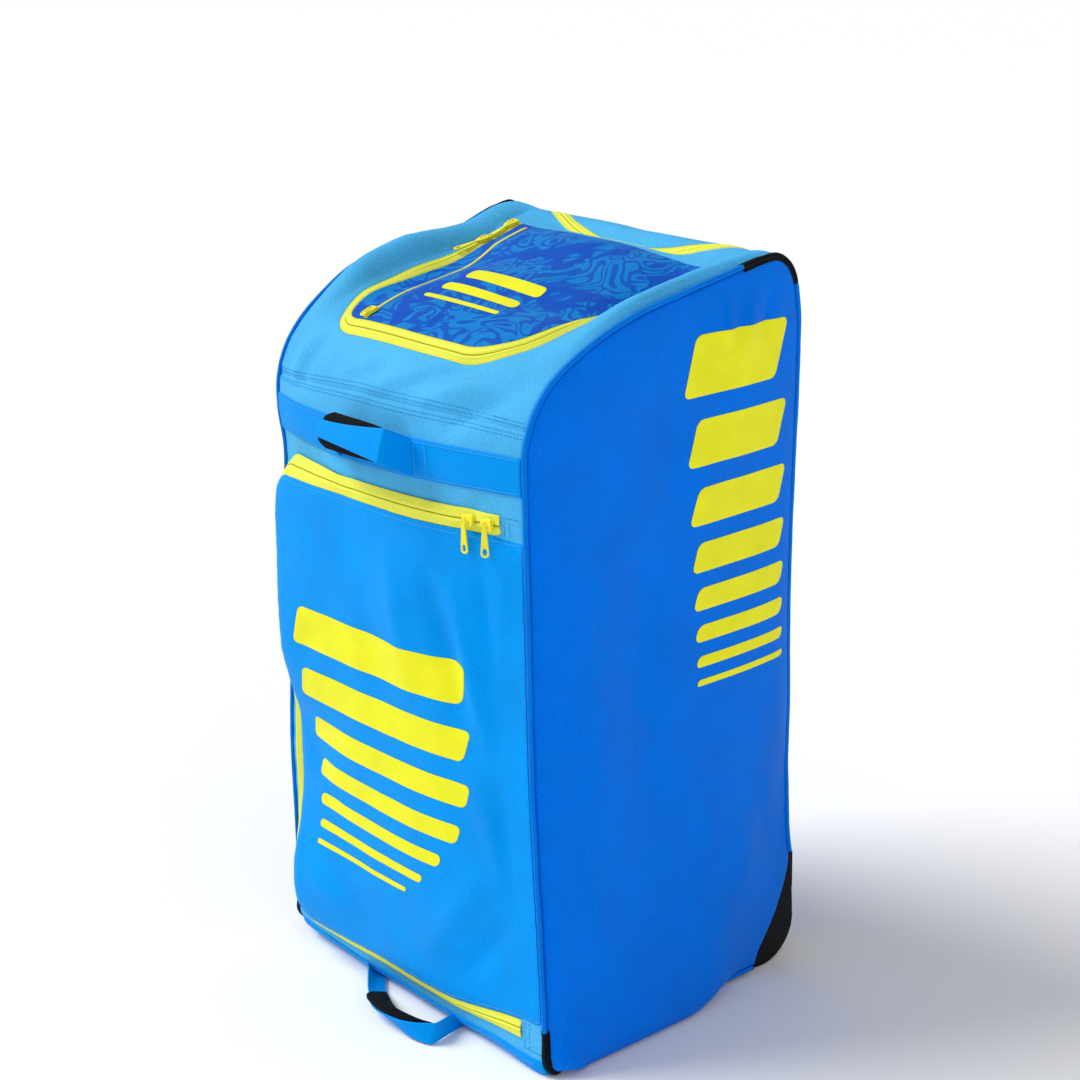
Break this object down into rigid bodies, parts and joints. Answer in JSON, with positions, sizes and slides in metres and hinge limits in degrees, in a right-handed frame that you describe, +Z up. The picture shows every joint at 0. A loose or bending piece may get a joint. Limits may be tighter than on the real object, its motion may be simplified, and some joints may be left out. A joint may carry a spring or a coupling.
{
  "type": "wheeled kit bag",
  "caption": "Tall upright kit bag of coated cloth with a zipped lid, a zipped front pocket, padded webbing handles and wheels in housings at its back bottom corners.",
  "frame": {"origin": "middle of the flat base on the floor, midway between the side seams and between the front and back seams", "axes": "+Z up, -Y out of the front with the pocket, +X across the front towards the side panel that the picture shows"},
  "size_m": [0.5368, 0.5155, 0.9562],
  "materials": {
    "blue_cloth": "coated, satin",
    "light_cloth": "coated, satin",
    "pocket_cloth": "coated, satin",
    "marbled_cloth": "printed, matt",
    "zip_tape": "woven tape",
    "slider_metal": "satin paint",
    "webbing": "woven webbing",
    "pad_cloth": "padded knit",
    "piping_cord": "coated, satin",
    "binding_tape": "woven tape",
    "housing_plastic": "textured",
    "tyre_rubber": "matt",
    "hub_plastic": "satin",
    "axle_steel": "turned"
  },
  "bodies": {
    "bag": {"front_panel": "light_cloth", "base_panel": "blue_cloth", "back_panel": "blue_cloth", "top_panel": "light_cloth", "lid_zip": "zip_tape", "lid_flap": "marbled_cloth", "lid_pocket_zip": "zip_tape", "rear_deck": "light_cloth", "rear_zip": "zip_tape", "rear_flap": "light_cloth", "pocket_panel": "pocket_cloth", "pocket_zip": "zip_tape", "upper_band": "webbing", "upper_grip": "webbing", "upper_pad": "pad_cloth", "lower_band": "webbing", "lower_grip": "webbing", "lower_pad": "pad_cloth", "pocket_slider_1": "slider_metal", "pocket_slider_2": "slider_metal", "pocket_pull_1": "slider_metal", "pocket_pull_2": "slider_metal", "lid_slider_1": "slider_metal", "lid_slider_2": "slider_metal", "lid_pull_1": "slider_metal", "lid_pull_2": "slider_metal", "lid_pocket_slider": "slider_metal", "side_panel_right": "blue_cloth", "side_panel_left": "blue_cloth", "piping_right": "piping_cord", "piping_left": "piping_cord", "foot_binding_right": "binding_tape", "foot_binding_left": "binding_tape", "crown_binding_right": "binding_tape", "crown_binding_left": "binding_tape", "wheel_housing_right": "housing_plastic", "wheel_housing_left": "housing_plastic", "wheel_axle_right": "axle_steel", "wheel_axle_left": "axle_steel"},
    "wheel_right": {"wheel_tyre_right": "tyre_rubber", "wheel_hub_right": "hub_plastic"},
    "wheel_left": {"wheel_tyre_left": "tyre_rubber", "wheel_hub_left": "hub_plastic"}
  },
  "joints": [
    {"name": "wheel_spin_right", "type": "hinge", "parent": "bag", "child": "wheel_right", "pos_m": [0.2054, 0.17, 0.057], "axis": [1, 0, 0], "continuous": true},
    {"name": "wheel_spin_left", "type": "hinge", "parent": "bag", "child": "wheel_left", "pos_m": [-0.2054, 0.17, 0.057], "axis": [1, 0, 0], "continuous": true}
  ]
}
